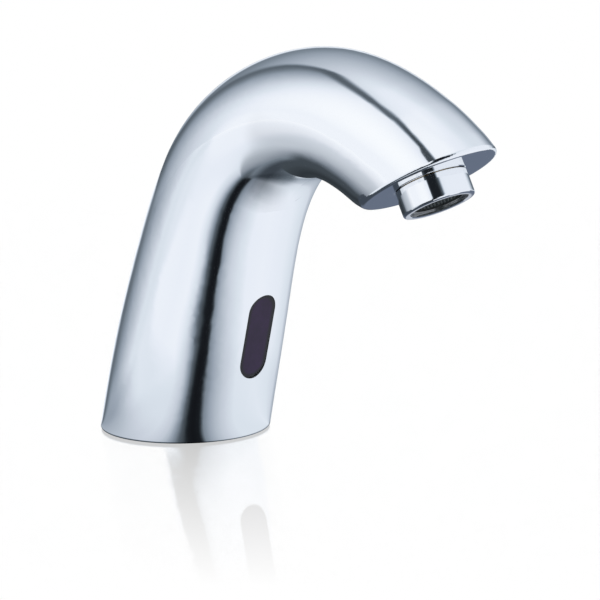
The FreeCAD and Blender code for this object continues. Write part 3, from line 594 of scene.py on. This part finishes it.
def board():
    """Circuit board: green mask over a faint grid of copper tracks, with glass weave in the bump."""
    mat, g, bs, pos = material("board")
    cells = g.voronoi(g.vec("MULTIPLY", pos, (1.0, 1.0, 1.0)), 420.0, out="Distance")
    tracks = g.span(cells, .32, .40)
    base = grey(g, g.noise(pos, 300.0, 3.0), (.010, .085, .035), (.018, .13, .05))
    g.put(bs.inputs["Base Color"], g.mixrgb(base, (.03, .20, .075, 1.0), g.math("MULTIPLY", tracks, .6)))
    g.put(bs.inputs["Roughness"], g.span(cells, .2, .6, .30, .42))
    g.put(bs.inputs["Normal"], g.bump(g.noise(g.vec("MULTIPLY", pos, (4000.0, 4000.0, 1500.0)), 1.0, 2.0), .3, 0.00002))
    return mat


def clear(name, tint, rough):
    """LED resin: coloured, glossy, with faint flow marks."""
    mat, g, bs, pos = material(name)
    flow = g.noise(pos, 700.0, 3.0, .5, .6)
    g.put(bs.inputs["Base Color"], grey(g, flow, [c * .8 for c in tint], [min(1.0, c * 1.1) for c in tint]))
    g.put(bs.inputs["Roughness"], g.span(flow, .3, .7, rough, rough + .08))
    bs.inputs["Coat Weight"].default_value = .6
    bs.inputs["Coat Roughness"].default_value = .05
    return mat


MATS = {
    "chrome_body": chrome("chrome_body", .055, .02),
    "chrome_ring": chrome("chrome_ring", .045, .015),
    "brass": metal("brass", (.40, .27, .11), (.58, .42, .19), .30, lines=(900.0, 900.0, 6000.0)),
    "zinc_plate": metal("zinc_plate", (.34, .35, .36), (.56, .57, .58), .36, cell=260.0, grain=900.0),
    "steel": metal("steel", (.46, .47, .48), (.66, .67, .68), .27, lines=(5000.0, 900.0, 900.0)),
    "screen_steel": metal("screen_steel", (.085, .095, .088), (.20, .215, .20), .38, grain=2500.0),
    "rubber": plastic("rubber", (.012, .012, .013), (.028, .028, .030), .62, .35, 2200.0, 0.00005, .1),
    "gasket": plastic("gasket", (.020, .020, .022), (.045, .045, .050), .70, .3, 1800.0, 0.00006, .15),
    "tube_plastic": plastic("tube_plastic", (.58, .58, .54), (.70, .70, .66), .36),
    "aerator_plastic": plastic("aerator_plastic", (.030, .034, .032), (.060, .066, .062), .34, .5, 2400.0, 0.00002),
    "regulator_plastic": plastic("regulator_plastic", (.26, .44, .47), (.34, .54, .57), .35, .5, 1800.0, 0.00002),
    "lens_dark": lens(),
    "black_plastic": plastic("black_plastic", (.008, .008, .009), (.020, .020, .021), .45, .45, 1500.0, 0.00004),
    "board": board(),
    "led_clear": clear("led_clear", (.66, .68, .74), .10),
    "led_dark": clear("led_dark", (.012, .010, .016), .10),
    "led_red": clear("led_red", (.46, .02, .012), .14),
    "header_plastic": plastic("header_plastic", (.64, .62, .55), (.76, .74, .68), .33),
}

SLOT_OF = {s["node"]: s["material_slot"] for s in frame["record"]["subparts"]}
for name, ob in nodes.items():
    ob.data.materials.clear()
    ob.data.materials.append(MATS[SLOT_OF[name]])


# ---------------------------------------------------------------- woven outlet screen
def woven_screen(name, radius, pitch, wire, depth):
    """Plain-weave wire cloth, cut round. depth is how far out along the outlet's axis its middle lies."""
    bm = bmesh.new()
    amp = wire * .52
    rows = int(radius / pitch)
    sides, per = 6, 6

    def wire_run(fixed, flip, along_x):
        half = math.sqrt(max(radius * radius - fixed * fixed, 0.0))
        count = max(4, int(2 * half / pitch * per))
        rings = []
        for i in range(count + 1):
            s = -half + 2 * half * i / count
            h = amp * math.cos(math.pi * s / pitch) * flip
            dh = -amp * math.pi / pitch * math.sin(math.pi * s / pitch) * flip
            tl = math.hypot(1.0, dh)
            up = (-dh / tl, 1.0 / tl)
            ring = []
            for k in range(sides):
                q = 2 * math.pi * k / sides
                side, lift = wire / 2 * math.cos(q), wire / 2 * math.sin(q)
                ss, hh, ff = s + lift * up[0], h + lift * up[1], fixed + side
                x, y = (ss, ff) if along_x else (ff, ss)
                ring.append(bm.verts.new(OUT + OX * x + OY * y + W * (depth + hh)))
            rings.append(ring)
        for q, w_ in zip(rings, rings[1:]):
            for k in range(sides):
                bm.faces.new((q[k], q[(k + 1) % sides], w_[(k + 1) % sides], w_[k]))
        bm.faces.new(rings[0][::-1])
        bm.faces.new(rings[-1])

    for i in range(-rows, rows + 1):
        wire_run(i * pitch, 1 if i % 2 == 0 else -1, True)
        wire_run(i * pitch, -1 if i % 2 == 0 else 1, False)
    bmesh.ops.recalc_face_normals(bm, faces=bm.faces)
    me = bpy.data.meshes.new(name)
    bm.to_mesh(me)
    bm.free()
    for f in me.polygons:
        f.use_smooth = True
    ob = bpy.data.objects.new(name, me)
    scene.collection.objects.link(ob)
    me.materials.append(MATS["screen_steel"])
    return ob


screen = woven_screen("woven_screen", 0.00785, 0.00080, 0.00026, 0.00665)
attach(screen, "aerator_insert")
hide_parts("aerator_screen")

# ---------------------------------------------------------------- studio, floor and camera
build_world()
build_stage()

scene.view_settings.view_transform = "Standard"
scene.view_settings.look = "None"
scene.view_settings.exposure = 0.0
scene.view_settings.gamma = 1.0

cam_data = bpy.data.cameras.new("camera")
cam_data.lens = 264.24
cam_data.sensor_width = 36.0
cam_data.clip_start, cam_data.clip_end = 0.05, 50.0
cam = bpy.data.objects.new("camera", cam_data)
scene.collection.objects.link(cam)
target = Vector((0.0, -0.05579, 0.051108))
back = Vector((-0.6782, -0.7073, 0.1996)).normalized()
cam.location = target + back * 1.436922
cam.rotation_mode = "QUATERNION"
cam.rotation_quaternion = (-back).to_track_quat("-Z", "Y")
scene.camera = cam
